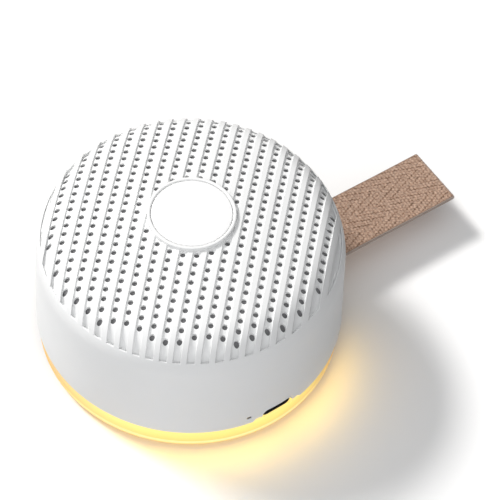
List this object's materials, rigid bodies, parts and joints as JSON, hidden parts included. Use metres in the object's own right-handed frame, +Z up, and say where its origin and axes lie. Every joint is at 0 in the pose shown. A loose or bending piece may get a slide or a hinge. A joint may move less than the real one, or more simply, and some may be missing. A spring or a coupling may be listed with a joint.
{
  "type": "white noise sound machine",
  "caption": "Hand-sized round sound machine: slotted domed grille over a loudspeaker, glowing ring at the foot, webbing hang loop, push keys and a slide switch underneath.",
  "frame": {"origin": "on the body's vertical axis, in the plane of the three rubber feet that it rests on", "axes": "+Z up through the grille; front is -Y and the grille's slots run along Y; the charging socket is at azimuth -45 degrees and the hang loop at 44 degrees from +X towards +Y"},
  "size_m": [0.1101, 0.1058, 0.052],
  "materials": {
    "white_plastic": "fine satin moulded ABS, pure white",
    "cap_plastic": "smooth satin white",
    "diffuser": "frosted translucent warm glow",
    "base_plastic": "satin warm white",
    "key_plastic": "soft satin warm white",
    "foot_rubber": "matt pale grey silicone",
    "strap_webbing": "tan brown herringbone webbing",
    "mesh_cloth": "fine black acoustic cloth",
    "lens_plastic": "clear light pipe",
    "usb_steel": "drawn steel",
    "black_plastic": "moulded black nylon",
    "circuit_board": "green solder mask",
    "chip_epoxy": "black epoxy",
    "led_lens": "yellow phosphor over white",
    "strip_film": "white polyimide film",
    "battery_foil": "laminated foil pouch",
    "foam": "adhesive foam",
    "lead_red": "insulated stranded lead",
    "speaker_steel": "black pressed steel",
    "magnet_ferrite": "dark grey ferrite",
    "zinc_steel": "zinc plated",
    "cone_paper": "black pressed paper",
    "roll_rubber": "butyl rubber",
    "coil_former": "copper winding",
    "screw_steel": "zinc plated"
  },
  "bodies": {
    "casing": {"crown_grille": "white_plastic", "cap_disc": "cap_plastic", "acoustic_mesh": "mesh_cloth", "side_shell": "white_plastic", "charge_lens": "lens_plastic", "light_ring": "diffuser", "light_strip": "strip_film", "light_leds": "led_lens", "strap_tail": "strap_webbing", "strap_pin": "screw_steel", "base_plate": "base_plastic", "back_foot": "foot_rubber", "left_foot": "foot_rubber", "right_foot": "foot_rubber", "tact_switches": "black_plastic", "switch_body": "zinc_steel", "control_board": "circuit_board", "board_chips": "chip_epoxy", "usb_shell": "usb_steel", "usb_tongue": "black_plastic", "indicator_lenses": "lens_plastic", "indicator_leds": "led_lens", "battery_pad": "foam", "battery_cell": "battery_foil", "battery_lead": "lead_red", "speaker_baffle": "black_plastic", "speaker_gasket": "foam", "speaker_basket": "speaker_steel", "speaker_magnet": "magnet_ferrite", "top_plate": "zinc_steel", "yoke": "zinc_steel", "cone_surround": "roll_rubber", "speaker_terminal": "black_plastic", "speaker_lead": "lead_red", "case_screws": "screw_steel", "board_screws": "screw_steel", "speaker_screws": "screw_steel"},
    "hang_loop": {"strap_loop": "strap_webbing"},
    "slide_knob": {"switch_knob": "key_plastic"},
    "cone": {"speaker_cone": "cone_paper", "dust_cap": "cone_paper", "voice_coil": "coil_former"},
    "power_button_cap": {"power_button": "key_plastic"},
    "volume_up_button_cap": {"volume_up_button": "key_plastic"},
    "timer_button_cap": {"timer_button": "key_plastic"},
    "sound_button_cap": {"sound_button": "key_plastic"},
    "light_button_cap": {"light_button": "key_plastic"},
    "volume_down_button_cap": {"volume_down_button": "key_plastic"}
  },
  "joints": [
    {"name": "hang_loop_flex", "type": "hinge", "parent": "casing", "child": "hang_loop", "pos_m": [0.03276, 0.02913, 0.0101], "axis": [0.6947, -0.7193, 0], "range_deg": [-12, 75], "stiffness_Nm_per_rad": 0.03},
    {"name": "power_press", "type": "slide", "parent": "casing", "child": "power_button_cap", "axis": [0, 0, 1], "range_m": [0, 0.0006], "stiffness_N_per_m": 1200, "springref_m": -0.0006},
    {"name": "volume_up_press", "type": "slide", "parent": "casing", "child": "volume_up_button_cap", "axis": [0, 0, 1], "range_m": [0, 0.0006], "stiffness_N_per_m": 1200, "springref_m": -0.0006},
    {"name": "timer_press", "type": "slide", "parent": "casing", "child": "timer_button_cap", "axis": [0, 0, 1], "range_m": [0, 0.0006], "stiffness_N_per_m": 1200, "springref_m": -0.0006},
    {"name": "sound_press", "type": "slide", "parent": "casing", "child": "sound_button_cap", "axis": [0, 0, 1], "range_m": [0, 0.0006], "stiffness_N_per_m": 1200, "springref_m": -0.0006},
    {"name": "light_press", "type": "slide", "parent": "casing", "child": "light_button_cap", "axis": [0, 0, 1], "range_m": [0, 0.0006], "stiffness_N_per_m": 1200, "springref_m": -0.0006},
    {"name": "volume_down_press", "type": "slide", "parent": "casing", "child": "volume_down_button_cap", "axis": [0, 0, 1], "range_m": [0, 0.0006], "stiffness_N_per_m": 1200, "springref_m": -0.0006},
    {"name": "switch_slide", "type": "slide", "parent": "casing", "child": "slide_knob", "axis": [1, 0, 0], "range_m": [0, 0.0027]},
    {"name": "cone_travel", "type": "slide", "parent": "casing", "child": "cone", "axis": [0, 0, 1], "range_m": [-0.0006, 0.0006], "stiffness_N_per_m": 1500}
  ]
}
